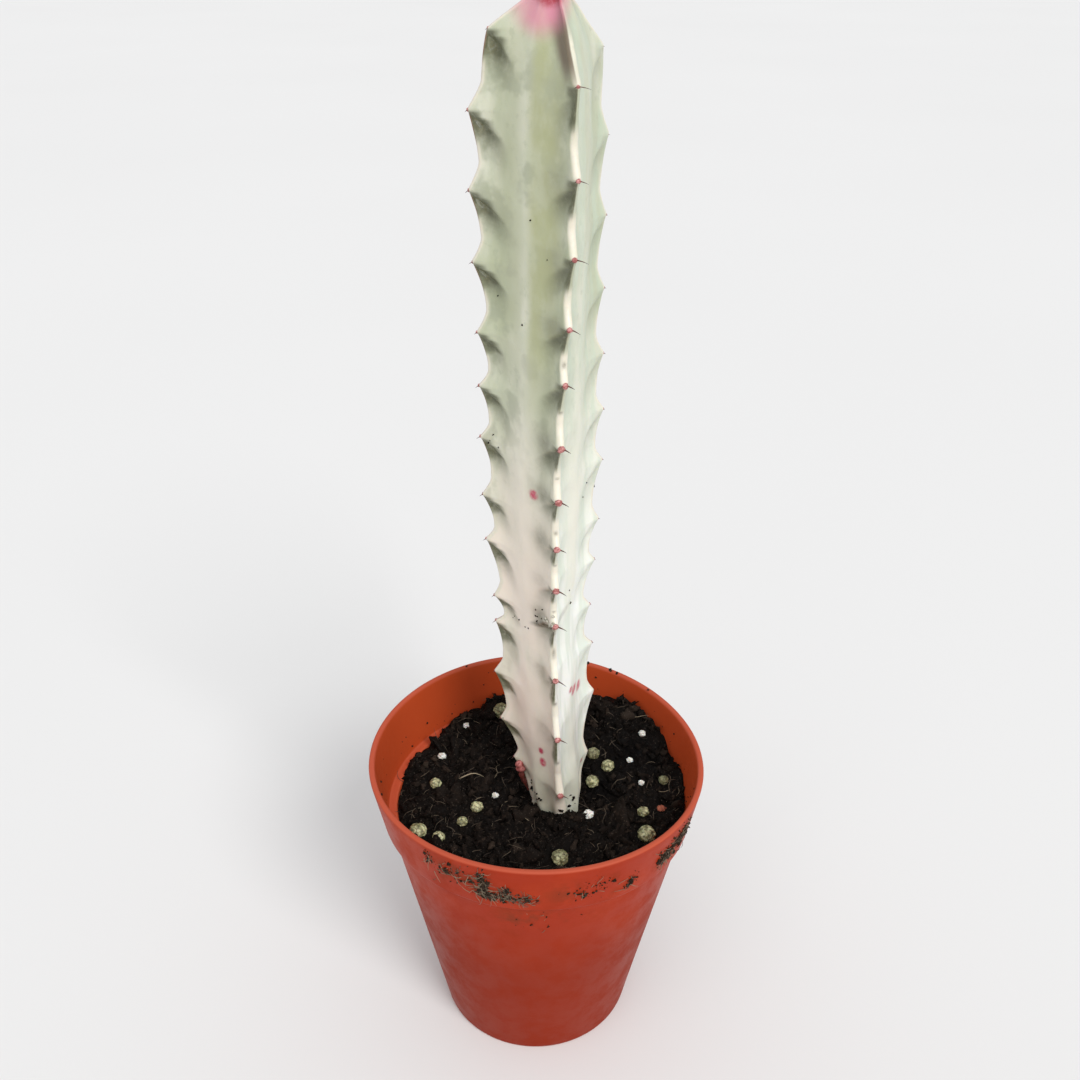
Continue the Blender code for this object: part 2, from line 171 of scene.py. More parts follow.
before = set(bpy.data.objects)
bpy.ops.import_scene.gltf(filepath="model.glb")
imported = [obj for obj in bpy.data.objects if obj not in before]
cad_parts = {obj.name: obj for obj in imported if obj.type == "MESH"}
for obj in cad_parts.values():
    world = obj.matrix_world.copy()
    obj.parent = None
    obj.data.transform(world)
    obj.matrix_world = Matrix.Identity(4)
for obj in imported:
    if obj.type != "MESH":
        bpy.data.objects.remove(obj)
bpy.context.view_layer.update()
item_nodes = [name for name in sorted(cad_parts) if name not in ("pot", "soil", "stem")]
item_boxes = [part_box(name) for name in item_nodes]
random = np.random.default_rng(SEED)


# --- Helpers ---


def smooth_step(value):
    """Eases from 0 to 1 as the value goes from 0 to 1."""
    value = np.clip(value, 0.0, 1.0)
    return value * value * (3 - 2 * value)


def ramp(value, start, width):
    """Eases from 0 to 1 over this width, from the start on."""
    return smooth_step((value - start) / width)


def along(stations, places):
    """Reads a smooth curve through (place, value) stations."""
    at, values = np.array(stations).T
    places = np.clip(places, at[0], at[-1])
    low = np.clip(np.searchsorted(at, places, side="left") - 1, 0, len(at) - 2)
    high = low + 1
    before = np.maximum(low - 1, 0)
    after = np.minimum(high + 1, len(at) - 1)
    span = at[high] - at[low]
    low_slope = (values[high] - values[before]) / (at[high] - at[before]) * span
    high_slope = (values[after] - values[low]) / (at[after] - at[low]) * span
    t = (places - at[low]) / span
    ease = smooth_step(t)
    bend = low_slope * t * (1 - t) ** 2 - high_slope * t * t * (1 - t)
    return values[low] * (1 - ease) + values[high] * ease + bend


def roughen(points, size, offset=0.0):
    """Smooth noise, from -1 to 1, of features this large, at each point."""
    shift = Vector((offset, offset, offset))
    return np.array([noise.noise(Vector(point) / size + shift) for point in points])


def unit(vectors):
    """The same directions at length 1."""
    return vectors / np.linalg.norm(vectors, axis=-1, keepdims=True)


def polar(radius, azimuth):
    """The x and y of a point at this radius and azimuth in degrees."""
    angle = math.radians(azimuth)
    return radius * math.cos(angle), radius * math.sin(angle)


def heading_at(angle):
    """The level direction at this angle in radians."""
    return np.array((math.cos(angle), math.sin(angle), 0))


def closed_grid(count, width):
    """Faces over rows of points that each close on themselves, with both ends capped."""
    index = np.arange(count * width).reshape(count, width)
    beside = np.roll(index, -1, axis=1)
    faces = np.stack([index[:-1], beside[:-1], beside[1:], index[1:]], -1)
    return faces.reshape(-1, 4).tolist() + [index[0, ::-1].tolist(), index[-1].tolist()]


def new_object(name, data):
    """A new object in the scene."""
    made = bpy.data.objects.new(name, data)
    bpy.context.scene.collection.objects.link(made)
    return made


def add_piece(name, shape, masks, look, slot, *nodes):
    """Puts a smooth shape on the root body, in place of the CAD nodes it stands for.

    The shape is its points and faces. A mask is a number a point, for the material to read.
    """
    points, faces = shape
    mesh = bpy.data.meshes.new(name)
    mesh.from_pydata(points.reshape(-1, 3).tolist(), [], faces)
    mesh.shade_smooth()
    mesh.materials.append(look.material)
    for mask, values in masks.items():
        attribute = mesh.attributes.new(mask, "FLOAT", "POINT")
        attribute.data.foreach_set("value", np.asarray(values, np.float32).ravel())
    piece = new_object(name, mesh)
    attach(piece, "root")
    if nodes:
        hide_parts(*nodes)
    return piece


class Pile:
    """Many small shapes gathered into one piece, each with its own shade."""

    def __init__(self):
        self.points, self.faces, self.shades, self.count = [], [], [], 0

    def add(self, points, faces, shade):
        """Adds one shape; its shade is one number, or one for each point."""
        self.points.append(points)
        self.faces += [[corner + self.count for corner in face] for face in faces]
        self.shades.append(np.broadcast_to(shade, len(points)))
        self.count += len(points)

    def piece(self, name, look, slot):
        """Makes the piece."""
        points = np.concatenate(self.points)
        masks = {"shade": np.concatenate(self.shades), "dark_patch": dark_patch_share(points)}
        add_piece(name, (points, self.faces), masks, look, slot)


def ball(detail):
    """The points and faces of a unit sphere of small triangles."""
    body = bmesh.new()
    bmesh.ops.create_icosphere(body, subdivisions=detail, radius=1)
    points = np.array([vertex.co[:] for vertex in body.verts])
    faces = [[vertex.index for vertex in face.verts] for face in body.faces]
    body.free()
    return points, faces


TINY_BALL, SMALL_BALL, CLUMP_BALL, STONE_BALL = (ball(detail) for detail in (1, 2, 3, 5))


def crumb(pile, centre, half_size, shade, relief, shape=TINY_BALL, turn=None):
    """Adds one rough, lumpy grain, turned at random if no turn is given."""
    points, faces = shape
    offset = random.uniform(0, 90, 3)
    wave = np.array([noise.noise(Vector(p * 1.3 + offset)) for p in points])
    if turn is None:
        turn, _ = np.linalg.qr(random.normal(size=(3, 3)))
    grain = points * (1 + relief * 2 * wave[:, None]) * half_size
    pile.add(centre + grain @ turn.T, faces, shade)


def tube(pile, path, radii, shade, sides):
    """Adds a tube along a path, closed at both ends by its small radius."""
    ahead = unit(np.gradient(path, axis=0))
    side = unit(np.cross(ahead, (0.31, 0.83, 0.47)))
    up = np.cross(ahead, side)
    angles = np.linspace(0, 2 * math.pi, sides, endpoint=False)[:, None, None]
    rings = path + (np.cos(angles) * side + np.sin(angles) * up) * radii[:, None]
    shades = np.repeat(np.broadcast_to(shade, len(path)), sides)
    pile.add(rings.transpose(1, 0, 2).reshape(-1, 3), closed_grid(len(path), sides), shades)


def fibre(pile, start, direction, normal, length, radius, shade):
    """Adds one thin fibre that lies along a surface and curls on it."""
    aside = np.cross(normal, direction)
    curl = random.uniform(-1, 1)
    t = np.linspace(0, 1, 7)[:, None]
    wave = np.sin(t * math.pi * random.uniform(1, 2.2)) * random.uniform(-0.12, 0.12)
    path = start + length * (direction * t + aside * (curl * 0.45 * t * t + wave))
    path = path + normal * length * 0.18 * np.sin(math.pi * t) * random.uniform(0, 1)
    tube(pile, path, radius * (1.05 - 0.75 * t[:, 0] ** 2), shade, 4)


def dark_patch_share(points):
    """How far each point lies within a near-black patch of soil, from 0 to 1."""
    x, y = points[..., 0], points[..., 1]
    away = [np.hypot(x - patch_x, y - patch_y) / spread for patch_x, patch_y, spread in SOIL_DARK_PATCHES]
    return np.exp(-(np.min(away, axis=0) ** 2))


# --- Materials ---


def rgb(text):
    """The linear colour of a six-digit sRGB hex code."""
    parts = [int(text[start : start + 2], 16) / 255 for start in (0, 2, 4)]
    linear = [(c / 12.92 if c <= 0.04045 else ((c + 0.055) / 1.055) ** 2.4) for c in parts]
    return (*linear, 1)


class Look:
    """A procedural material that is put together one step at a time."""

    def __init__(self, name, fixed):
        self.material = bpy.data.materials.new(name)
        self.material.use_nodes = True
        self.tree = self.material.node_tree
        self.shader = self.tree.nodes["Principled BSDF"]
        for socket, value in fixed.items():
            self.shader.inputs[socket].default_value = value
        self.place = self.node("ShaderNodeTexCoord").outputs["Object"]

    def node(self, kind, inputs=None, **settings):
        """Adds a node with these settings and inputs."""
        node = self.tree.nodes.new(kind)
        for setting, value in settings.items():
            setattr(node, setting, value)
        for socket, value in (inputs or {}).items():
            self.feed(node.inputs[socket], value)
        return node

    def feed(self, socket, value):
        """Links a socket, or sets it to a fixed value; a text is a hex colour."""
        if isinstance(value, bpy.types.NodeSocket):
            self.tree.links.new(value, socket)
        else:
            socket.default_value = rgb(value) if isinstance(value, str) else value

    def noise(self, size, detail=3.0, roughness=0.5, stretch=None):
        """Noise from 0 to 1 with features of this size in metres, scaled along each axis."""
        place = self.place
        if stretch:
            scaled = {"Vector": place, "Scale": stretch}
            place = self.node("ShaderNodeMapping", scaled).outputs["Vector"]
        inputs = {"Vector": place, "Scale": 1 / size, "Detail": detail, "Roughness": roughness}
        return self.node("ShaderNodeTexNoise", inputs).outputs["Fac"]

    def cells(self, size):
        """The distance to the middle of the nearest cell of this size."""
        inputs = {"Vector": self.place, "Scale": 1 / size}
        return self.node("ShaderNodeTexVoronoi", inputs).outputs["Distance"]

    def band(self, value, low, high, start=0.0, end=1.0):
        """Eases from start to end as the value goes from low to high."""
        inputs = {"Value": value, "From Min": low, "From Max": high, "To Min": start, "To Max": end}
        node = self.node("ShaderNodeMapRange", inputs, interpolation_type="SMOOTHSTEP")
        return node.outputs["Result"]

    def times(self, product, *factors):
        """The product of these values."""
        for factor in factors:
            node = self.node("ShaderNodeMath", {0: product, 1: factor}, operation="MULTIPLY")
            product = node.outputs[0]
        return product

    def mask(self, name):
        """A number stored on the piece's points."""
        return self.node("ShaderNodeAttribute", attribute_name=name).outputs["Fac"]

    def height(self):
        """Height above the floor."""
        return self.node("ShaderNodeSeparateXYZ", {0: self.place}).outputs["Z"]

    def mix(self, first, second, share):
        """Mixes two colours."""
        inputs = {0: share, 6: first, 7: second}
        return self.node("ShaderNodeMix", inputs, data_type="RGBA").outputs[2]

    def colour(self, first, second, share):
        """Sets the surface's colour to a mix of two."""
        self.feed(self.shader.inputs["Base Color"], self.mix(first, second, share))

    def paint(self, colour, *shares):
        """Lays a colour over the surface's colour where all these shares are high."""
        below = self.shader.inputs["Base Color"].links[0].from_socket
        self.colour(below, colour, self.times(*shares))

    def roughness(self, value):
        """Sets the surface's roughness."""
        self.feed(self.shader.inputs["Roughness"], value)

    def bump(self, height, depth, strength=1.0):
        """Raises the surface by up to this depth in metres."""
        inputs = {"Height": height, "Distance": depth, "Strength": strength}
        current = self.shader.inputs["Normal"]
        if current.is_linked:
            inputs["Normal"] = current.links[0].from_socket
        self.feed(current, self.node("ShaderNodeBump", inputs).outputs["Normal"])


def stem_look():
    """Waxy greyish-white skin: milky bands with painted sheen, olive painted shade in hollows, a
    right face painted lighter, pale margins and pink marks.
    """
    fixed = {"Subsurface Weight": 0.12, "Subsurface Scale": 1.2 * MM}
    look = Look("stem_skin", fixed | {"Subsurface Radius": (1.0, 0.8, 0.45)})
    height, left, right = look.height(), look.mask("left_face"), look.mask("right_face")
    mottle = look.noise(3.5 * MM, 4, 0.55, (1, 1, 0.5))
    blotch = look.noise(7 * MM, 3, 0.5, (1, 1, 0.4))
    small = look.noise(1.5 * MM, 4, 0.6)
    fine = look.noise(0.7 * MM, 3, 0.6)
    stripes = look.noise(2.2 * MM, 2, 0.5, (1, 1, 0.12))
    patches = look.noise(5 * MM, 3, 0.55)
    broken = look.band(look.noise(0.8 * MM, 4, 0.7), 0.3, 0.6, 0.5, 1.0)
    high = look.band(height, 104 * MM, 132 * MM)
    look.colour("C4C8AE", "D8D8C4", look.band(mottle, 0.35, 0.65))
    look.paint("B7BD9E", high, look.band(blotch, 0.35, 0.6))
    look.paint("A3AA8E", look.band(small, 0.54, 0.7), 0.35)
    # Painted light: the right face, turned to the key light, is whitened, most towards its foot.
    look.paint("F7F8F1", look.band(height, 135 * MM, 60 * MM, 0.05, 1.0), right)
    look.paint("C3D2BC", look.band(stripes, 0.42, 0.62), right, 0.45)
    look.paint("A2A78E", look.band(patches, 0.5, 0.62), left, 0.65)
    # Milky band down each face's middle: partly the skin's own variegation, partly a painted
    # highlight of the hollow face.
    milky_and_sheen = look.times(look.mask("vein_and_sheen"), look.band(blotch, 0.36, 0.62, 0.05, 0.8))
    look.paint("E9E5D4", milky_and_sheen, look.band(height, 100 * MM, 140 * MM, 1.0, 0.35))
    look.paint("B2B58C", look.mask("olive"), look.band(mottle, 0.3, 0.65, 0.3, 1.0), high)
    warm = look.times(look.band(height, 118 * MM, 85 * MM), left)
    look.paint("EFE2D2", warm, look.band(blotch, 0.3, 0.6, 0.45, 1.0))
    look.paint("C6C9B2", look.band(height, 61 * MM, 47 * MM, 0.0, 0.7))
    look.paint("E6DFCD", look.mask("margin"), look.band(small, 0.3, 0.55, 0.72, 1.0))
    # Painted shade: dark olive in the hollows beside the front knobs, in the creases and under the
    # teeth.
    look.paint("6F6D57", look.mask("knob_hollow_and_shade"), look.band(small, 0.25, 0.6, 0.7, 1.0))
    look.paint("62644B", look.mask("hollow_shade"), look.band(fine, 0.25, 0.6, 0.8, 1.0))
    # Painted shade: brown along the front rib's left side near the apex.
    look.paint("746855", look.mask("top_rib_shade"))
    look.paint("A0604E", look.mask("line"), 0.5)
    look.paint("DB8BA0", look.mask("blush"), look.band(blotch, 0.3, 0.55, 0.5, 0.85))
    look.paint("A8323F", look.mask("tip"), broken)
    look.paint("C2405C", look.mask("scar"), broken)
    # Corky dots and the dark joint, with painted shadow under the joint's overhang.
    look.paint("5B5645", look.mask("cork"), broken)
    look.paint("7C7A60", look.mask("splash"), look.band(mottle, 0.45, 0.65), 0.55)
    look.roughness(look.band(mottle, 0.3, 0.7, 0.34, 0.5))
    look.bump(look.noise(0.9 * MM, 4, 0.6), 0.10 * MM, 0.4)
    look.bump(fine, 0.04 * MM, 0.4)
    return look


def pot_look():
    """Terracotta-coloured moulded plastic, satin, scuffed and smudged with soil, with painted shade
    low on its body and painted highlights on its lip and ledge.
    """
    look = Look("pot_plastic", {"Specular IOR Level": 0.1})
    cloud = look.noise(14 * MM, 4, 0.55)
    smudge = look.noise(5 * MM, 6, 0.7)
    scuff = look.noise(1.6 * MM, 5, 0.75, (1, 1, 0.35))
    look.colour("A02C0B", "AB340F", look.band(cloud, 0.35, 0.65))
    # Painted shade: the body darkens towards its foot.
    look.paint("8A2608", look.band(look.height(), 46 * MM, 20 * MM, 0.0, 0.9))
    look.paint("BC4E28", look.mask("inner"), 0.75)
    look.paint("5A3520", look.band(smudge, 0.45, 0.65), look.mask("dirty"), 0.6)
    look.paint("C05A3A", look.band(scuff, 0.66, 0.8), 0.25)
    # Painted highlight along the rim's top and the ledge's edge.
    look.paint("BC5A42", look.mask("lip_and_ledge_highlight"), 0.75)
    look.roughness(look.band(smudge, 0.35, 0.7, 0.38, 0.6))
    look.bump(look.noise(0.35 * MM, 3, 0.6), 0.02 * MM, 0.5)
    look.bump(cloud, 0.25 * MM, 0.3)
    return look


def soil_look(name, dark, light):
    """Damp peat: near black, with paler dry edges and a few glints painted as pale flecks."""
    look = Look(name, {"Specular IOR Level": 0.1})
    crumbs = look.noise(0.9 * MM, 5, 0.7)
    look.colour(dark, light, look.band(crumbs, 0.5, 0.8))
    look.paint(dark, look.band(look.noise(5 * MM), 0.4, 0.65), 0.6)
    look.paint("4A3D33", look.mask("shade"), 0.5)
    # Painted glints: fine pale flecks stand in for highlights.
    look.paint("7D7064", look.band(look.noise(0.28 * MM, 3, 0.6), 0.62, 0.7), 0.45)
    # Near-black patches of soil.
    look.paint("030202", look.mask("dark_patch"), 0.75)
    look.roughness(look.band(crumbs, 0.35, 0.6, 0.42, 0.95))
    look.bump(crumbs, 0.6 * MM, 0.9)
    look.bump(look.noise(0.3 * MM, 3, 0.6), 0.15 * MM, 0.6)
    return look


def fibre_look():
    """Dry peat fibres, from dark brown to straw."""
    look = Look("fibre", {"Roughness": 0.8})
    look.colour("3A2E25", "A8977C", look.mask("shade"))
    return look


def prill_look():
    """Greenish-yellow coated fertiliser, mottled with dark pits and dusted with soil."""
    fixed = {"Roughness": 0.38, "Subsurface Weight": 0.1, "Subsurface Scale": 0.6 * MM}
    look = Look("prill_coat", fixed)
    cells = look.cells(0.45 * MM)
    dust = look.noise(0.5 * MM, 5, 0.75)
    look.colour("7A784E", "CFCDA0", look.band(look.noise(0.8 * MM, 4, 0.6), 0.36, 0.62))
    look.paint("5A5838", look.band(look.noise(9 * MM, 1, 0.5), 0.48, 0.6, 0.0, 0.7))
    look.paint("4A4830", look.band(cells, 0.45, 0.75, 0.0, 0.75))
    look.paint("1E1914", look.band(dust, 0.54, 0.66))
    look.roughness(look.band(dust, 0.4, 0.65, 0.35, 0.8))
    look.bump(cells, 0.08 * MM, 0.6)
    return look


def perlite_look():
    """White expanded perlite, pitted and a little dusty."""
    fixed = {"Roughness": 0.85, "Subsurface Weight": 0.15, "Subsurface Scale": 0.5 * MM}
    look = Look("perlite_white", fixed)
    pits = look.cells(0.3 * MM)
    look.colour("F1F0EA", "C9C5B8", look.band(pits, 0.35, 0.7))
    look.paint("6E6559", look.band(look.noise(0.6 * MM, 5, 0.7), 0.56, 0.72), 0.6)
    look.bump(pits, 0.08 * MM, 0.7)
    return look


def bark_look(name, dark, light):
    """Dry bark or cork with a grain."""
    look = Look(name, {"Roughness": 0.8})
    grain = look.noise(0.5 * MM, 5, 0.7, (1, 0.3, 1))
    look.colour(dark, light, look.band(grain, 0.35, 0.65))
    look.bump(grain, 0.15 * MM, 0.8)
    return look


def flap_look():
    """A dried strip of skin, pink at its top and dark reddish brown below."""
    look = Look("dry_skin", {"Roughness": 0.6})
    grain = look.noise(0.5 * MM, 4, 0.7, (1, 1, 0.35))
    streaks = look.band(grain, 0.35, 0.65)
    pink = look.mix("8E3F3A", "C9807A", streaks)
    look.colour(look.mix("3A1812", "7E3328", streaks), pink, look.mask("shade"))
    look.bump(grain, 0.15 * MM, 0.8)
    return look


def spine_look():
    """Dark brown thorns on pink-brown shields."""
    look = Look("spine", {"Roughness": 0.45})
    shade = look.mask("shade")
    thorn = look.mix("2E1E1A", "6E4438", look.band(shade, 0.0, 0.45))
    pink = look.mix("9A5650", "CB8C88", look.band(look.noise(0.4 * MM), 0.4, 0.6))
    look.colour(thorn, pink, look.band(shade, 0.6, 0.9))
    return look


# --- Pot ---


def body_radius(z):
    """Outer radius of the pot below its collar, at height z."""
    return BASE_RADIUS + (RIM_RADIUS - COLLAR_STEP - BASE_RADIUS) * z / POT_HEIGHT


def rounded(corners, steps=5):
    """A polyline of (r, z, rounding) corners with each corner turned into an arc."""
    points = []
    for index, (r, z, rounding) in enumerate(corners):
        here = np.array((r, z))
        if rounding == 0:
            points.append(here)
            continue
        start = here + unit(np.array(corners[index - 1][:2]) - here) * rounding
        end = here + unit(np.array(corners[index + 1][:2]) - here) * rounding
        for t in np.linspace(0, 1, steps + 1):
            points.append(start * (1 - t) ** 2 + here * 2 * t * (1 - t) + end * t * t)
    return points


def filled(points, spacing):
    """The same outline with points no further apart than this."""
    out = [points[0]]
    for start, end in itertools.pairwise(points):
        count = max(1, math.ceil(np.linalg.norm(end - start) / spacing))
        out += [start + (end - start) * step / count for step in range(1, count + 1)]
    return np.array(out)


def pot_outline():
    """The pot's section from the floor's middle, up inside, over the rim and down outside."""
    ledge = body_radius(LEDGE_HEIGHT)
    foot_inner = BASE_RADIUS - FOOT_WIDTH
    hole_free = 0.4 * MM
    corners = (
        (hole_free, FLOOR_TOP, 0),
        (body_radius(FLOOR_TOP) - BODY_WALL, FLOOR_TOP, 1.0 * MM),
        (ledge - BODY_WALL, LEDGE_HEIGHT, 0.35 * MM),
        (ledge + COLLAR_STEP - COLLAR_WALL, LEDGE_HEIGHT, 0.3 * MM),
        (RIM_RADIUS - COLLAR_WALL, POT_HEIGHT, 0.48 * MM),
        (RIM_RADIUS, POT_HEIGHT, 0.48 * MM),
        (ledge + COLLAR_STEP, LEDGE_HEIGHT, 0.35 * MM),
        (ledge, LEDGE_HEIGHT - COLLAR_STEP / 2, 0.4 * MM),
        (BASE_RADIUS, 0, 0.7 * MM),
        (foot_inner, 0, 0.25 * MM),
        (foot_inner - FOOT_HEIGHT / 3, FOOT_HEIGHT, 0.25 * MM),
        (hole_free, FOOT_HEIGHT, 0),
    )
    return filled(rounded(corners), 1.2 * MM)


def rim_swell(angles):
    """How far the rim stands out of round at each angle."""
    return sum(depth * np.cos(waves * (angles - math.radians(azimuth)))
               for waves, depth, azimuth in RIM_WAVES)


def make_pot():
    """The pot as a fine turned shell, a little out of round towards its rim."""
    outline = pot_outline()[::-1]
    angles = np.linspace(0, 2 * math.pi, 224, endpoint=False)
    radius, height = outline[:, :1], outline[:, 1:]
    reach = radius + rim_swell(angles) * smooth_step(height / POT_HEIGHT) * (radius > FLOOR_REACH)
    height = np.broadcast_to(height, reach.shape)
    rows = np.stack([reach * np.cos(angles), reach * np.sin(angles), height], -1)
    # A painted highlight on the ledge's edge, and below on the rim's top.
    ledge = (np.abs(height - LEDGE_HEIGHT) < 0.25 * MM) * 0.6
    ledge = ledge * (radius < body_radius(LEDGE_HEIGHT) + 0.1 * MM)
    stain = np.zeros(reach.shape)
    for azimuth, level, spread, rise, *_ in COLLAR_DIRT:
        turned = (np.degrees(angles) - azimuth + 180) % 360 - 180
        away = np.hypot(turned / (2 * spread + 2), (height / MM - level) / (1.3 * rise))
        stain = np.maximum(stain, np.exp(-(away**2)) * (radius > body_radius(height)))
    masks = {
        "lip_and_ledge_highlight": np.maximum(ramp(height, POT_HEIGHT - 0.5 * MM, 0.4 * MM), ledge),
        "inner": radius < body_radius(height) - 0.05 * MM,
        "dirty": stain,
    }
    shape = rows, closed_grid(*reach.shape)
    drill_drains(add_piece("visual_pot", shape, masks, pot_look(), "pot", "pot"))


def drill_drains(pot):
    """Cuts the drain holes through the pot's floor."""
    body = bmesh.new()
    for hole in range(DRAIN_HOLES):
        x, y = polar(DRAIN_CIRCLE_RADIUS, 360 * (hole + 0.5) / DRAIN_HOLES)
        bmesh.ops.create_cone(
            body,
            cap_ends=True,
            segments=32,
            radius1=DRAIN_DIAMETER / 2,
            radius2=DRAIN_DIAMETER / 2,
            depth=4 * MM,
            matrix=Matrix.Translation((x, y, FOOT_HEIGHT)),
        )
    cutter = new_object("drains", bpy.data.meshes.new("drains"))
    body.to_mesh(cutter.data)
    body.free()
    drill = pot.modifiers.new("drains", "BOOLEAN")
    drill.object = cutter
    drill.operation = "DIFFERENCE"
    drill.solver = "EXACT"
    graph = bpy.context.evaluated_depsgraph_get()
    drilled = bpy.data.meshes.new_from_object(pot.evaluated_get(graph))
    pot.modifiers.clear()
    pot.data = drilled
    bpy.data.objects.remove(cutter)


# --- Stem ---


def tooth_heights(rib):
    """Heights above the soil of one rib's teeth, from the top down."""
    first_depth, spacings = RIB_TEETH[rib]
    height = STEM_ABOVE_SOIL - first_depth
    heights = []
    for spacing in itertools.cycle(spacings):
        if height < TOOTH_LOWEST:
            return np.array(heights)
        heights.append(height)
        height -= TOOTH_PITCH * spacing


def phase_below(height, tips):
    """How far each height is below the tooth above it, as a share of the way to the next."""
    levels = np.concatenate([[tips[0] + TOOTH_PITCH], tips, [tips[-1] - TOOTH_PITCH]])[::-1]
    above = np.clip(np.searchsorted(levels, height, side="left"), 1, len(levels) - 1)
    upper, lower = levels[above], levels[above - 1]
    return np.clip((upper - height) / (upper - lower), 0, 1)


def tooth_rise(height, tips):
    """How far a rib stands out at each height, from 0 between teeth to 1 at a tip."""
    rise = np.zeros_like(height)
    pitches = np.abs(np.diff(tips, append=tips[-1] - TOOTH_PITCH))
    above = np.concatenate([[TOOTH_PITCH], pitches[:-1]])
    for tip, lower_pitch, upper_pitch in zip(tips, pitches, above):
        longer = 1 + 0.3 * smooth_step(tip / STEM_ABOVE_SOIL * 2 - 1)
        up = np.clip(1 - (height - tip) / (UPPER_FLANK * longer * upper_pitch), 0, 1) ** 1.35
        down = np.clip(1 - (tip - height) / (LOWER_FLANK * longer * lower_pitch), 0, 1) ** 1.6
        rise = np.maximum(rise, np.where(height > tip, up, down))
    return rise


def along_teeth(height, tips):
    """A number from 0 to 1 at each height that changes from tooth to tooth."""
    steps = np.array([noise.noise(Vector((float(tip) * 900, 0.5, 0.5))) for tip in tips])
    return np.clip(0.5 + np.interp(height, tips[::-1], steps[::-1]), 0, 1)


def blurred(values, width):
    """Blurs along the first axis by this many rows."""
    reach = int(3 * width) + 1
    weights = np.exp(-0.5 * (np.arange(-reach, reach + 1) / width) ** 2)
    weights /= weights.sum()
    padded = np.pad(values, ((reach, reach), (0, 0)), mode="edge")
    return sum(weight * padded[index : index + len(values)] for index, weight in enumerate(weights))


def half_rib(tip, inner, half_thickness, steps):
    """Points of half a rib's section, from its edge to mid-face: how far out, how far aside."""
    edge_share = 0.2
    turn = math.radians(60)
    tip, inner, half_thickness = tip[:, None], inner[:, None], half_thickness[:, None]
    angle = math.radians(90) * np.minimum(steps / edge_share, 1)[None, :]
    edge_out = tip - half_thickness * (1 - np.cos(angle))
    edge_aside = half_thickness * np.sin(angle)
    t = np.clip((steps - edge_share) / (1 - edge_share), 0, 1)[None, :, None]
    start = np.stack([tip - half_thickness, half_thickness], -1)
    end = np.stack([inner * math.cos(turn), inner * math.sin(turn)], -1)
    reach = np.linalg.norm(start - end, axis=-1, keepdims=True)
    start_pull = start + np.array((-0.35, 0.02)) * reach
    end_pull = end + np.array((math.sin(turn), -math.cos(turn))) * 0.3 * reach
    flank = (
        start * (1 - t) ** 3
        + start_pull * 3 * t * (1 - t) ** 2
        + end_pull * 3 * t * t * (1 - t)
        + end * t**3
    )
    on_edge = (steps <= edge_share)[None, :]
    out = np.where(on_edge, edge_out, flank[..., 0])
    aside = np.where(on_edge, edge_aside, flank[..., 1])
    return out, aside


def creases(height, edge, tips):
    """How the skin sinks (below 0) or swells beside a rib's teeth."""
    uneven = along_teeth(height, tips)[:, None]
    phase = phase_below(height[:, None] + CREASE_SLOPE * edge, tips)
    recess = np.clip(1 - phase / 0.55, 0, 1) ** 1.2 * smooth_step(phase / 0.05)
    reach = CREASE_REACH * (0.75 + 0.5 * uneven)
    window = ramp(edge, -0.1 * MM, 1.1 * MM) * (1 - ramp(edge, 1.6 * MM, reach - 1.6 * MM))
    return (0.3 * ramp(phase, 0.55, 0.4) - recess * (0.5 + 0.8 * uneven)) * window


def stem_centre(share):
    """The x and y of the stem's middle at each share of its height."""
    return along(STEM_MIDDLE, share), -FOOT_FORWARD * (1 - smooth_step(share / 0.2))


def rib_azimuths(share):
    """The front rib's azimuth in radians at each share of the stem's height."""
    return np.radians(RIB_AZIMUTH + RIB_TWIST * ramp(share, 0.45, 0.4))


